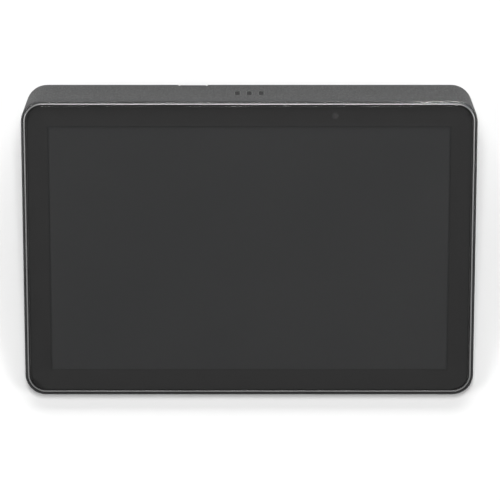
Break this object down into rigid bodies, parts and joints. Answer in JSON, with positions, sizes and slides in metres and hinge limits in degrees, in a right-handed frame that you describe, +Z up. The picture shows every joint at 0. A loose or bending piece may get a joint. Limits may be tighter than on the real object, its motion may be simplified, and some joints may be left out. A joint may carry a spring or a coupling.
{
  "type": "tabletop touch display",
  "caption": "Low wedge-shaped tabletop touch display for a meeting room, with a sloped glass face, cable bay and rubber feet underneath.",
  "frame": {"origin": "on the table, under the middle of the footprint's bounding box", "axes": "+Z up, +X to the user's right across the screen, +Y away from the user towards the tall back"},
  "size_m": [0.246, 0.1706, 0.0462],
  "materials": {
    "cover_glass": "clear gloss",
    "border_ink": "printed matte black",
    "black_tape": "foam tape",
    "clear_film": "clear film",
    "lens_plastic": "smoked light pipe",
    "gasket_rubber": "matte",
    "panel_glass": "dark polariser",
    "acrylic": "clear acrylic",
    "amber_film": "flexible circuit",
    "sheet_steel": "zinc coated",
    "soft_foam": "open foam",
    "circuit_board": "solder mask",
    "frame_plastic": "satin",
    "housing_plastic": "fine moulded grain",
    "mark_plastic": "matte black",
    "base_plastic": "moulded grain",
    "screw_steel": "black zinc",
    "foot_rubber": "matte",
    "insert_brass": "turned",
    "chip_black": "moulded",
    "thermal_pad": "soft pad",
    "sink_aluminium": "anodised",
    "ferrite": "pressed ferrite",
    "jack_plastic": "moulded",
    "plated_shell": "nickel plated",
    "plunger_plastic": "moulded",
    "connector_plastic": "moulded",
    "coax_jacket": "smooth"
  },
  "bodies": {
    "main_unit": {"cover_glass": "cover_glass", "border_print": "border_ink", "glass_tape": "black_tape", "touch_panel": "clear_film", "light_sensor_lens": "lens_plastic", "glass_gasket": "gasket_rubber", "lcd_cell": "panel_glass", "light_guide": "acrylic", "touch_flex": "amber_film", "display_flex": "amber_film", "antennas": "amber_film", "backlight_tray": "sheet_steel", "mid_chassis": "sheet_steel", "lock_plate": "sheet_steel", "processor_shield": "sheet_steel", "display_foam": "soft_foam", "driver_board": "circuit_board", "light_sensor_board": "circuit_board", "mainboard": "circuit_board", "radio_module": "circuit_board", "bezel_frame": "frame_plastic", "wedge_housing": "housing_plastic", "rear_mark": "mark_plastic", "base_plate": "base_plastic", "display_screws": "screw_steel", "base_screws": "screw_steel", "board_screws": "screw_steel", "foot_strips": "foot_rubber", "mount_inserts": "insert_brass", "door_inserts": "insert_brass", "clamp_inserts": "insert_brass", "antenna_plugs": "insert_brass", "ethernet_contacts": "insert_brass", "processor": "chip_black", "memory_chips": "chip_black", "small_chips": "chip_black", "network_transformer": "chip_black", "usb_tongue": "chip_black", "reset_switch": "chip_black", "thermal_pads": "thermal_pad", "heat_sink": "sink_aluminium", "capacitors": "sink_aluminium", "power_inductors": "ferrite", "supply_transformer": "ferrite", "ethernet_jack": "jack_plastic", "usb_shell": "plated_shell", "flex_connectors": "connector_plastic", "antenna_cable_left": "coax_jacket", "antenna_cable_right": "coax_jacket"},
    "door": {"bay_door": "base_plastic"},
    "door_screw_left": {"door_screw_left": "screw_steel"},
    "door_screw_right": {"door_screw_right": "screw_steel"},
    "clamp": {"clamp_bar": "base_plastic"},
    "clamp_screw_left": {"clamp_screw_left": "screw_steel"},
    "clamp_screw_right": {"clamp_screw_right": "screw_steel"},
    "reset_plunger": {"reset_plunger": "plunger_plastic"}
  },
  "joints": [
    {"name": "door_lift_off", "type": "slide", "parent": "main_unit", "child": "door", "axis": [0, 0, -1], "range_m": [0, 0.04]},
    {"name": "door_screw_left_turn", "type": "hinge", "parent": "door", "child": "door_screw_left", "pos_m": [-0.0375, 0.037, 0.0013], "axis": [0, 0, -1], "continuous": true},
    {"name": "door_screw_right_turn", "type": "hinge", "parent": "door", "child": "door_screw_right", "pos_m": [0.0375, 0.064, 0.0013], "axis": [0, 0, -1], "continuous": true},
    {"name": "clamp_travel", "type": "slide", "parent": "main_unit", "child": "clamp", "axis": [0, 0, -1], "range_m": [0, 0.001]},
    {"name": "clamp_screw_left_turn", "type": "hinge", "parent": "clamp", "child": "clamp_screw_left", "pos_m": [-0.0395, 0.058, 0.00515], "axis": [0, 0, -1], "continuous": true},
    {"name": "clamp_screw_right_turn", "type": "hinge", "parent": "clamp", "child": "clamp_screw_right", "pos_m": [-0.0225, 0.058, 0.00515], "axis": [0, 0, -1], "continuous": true},
    {"name": "reset_press", "type": "slide", "parent": "main_unit", "child": "reset_plunger", "axis": [0, -1, 0], "range_m": [0, 0.0003], "stiffness_N_per_m": 2000, "springref_m": -0.0003}
  ]
}
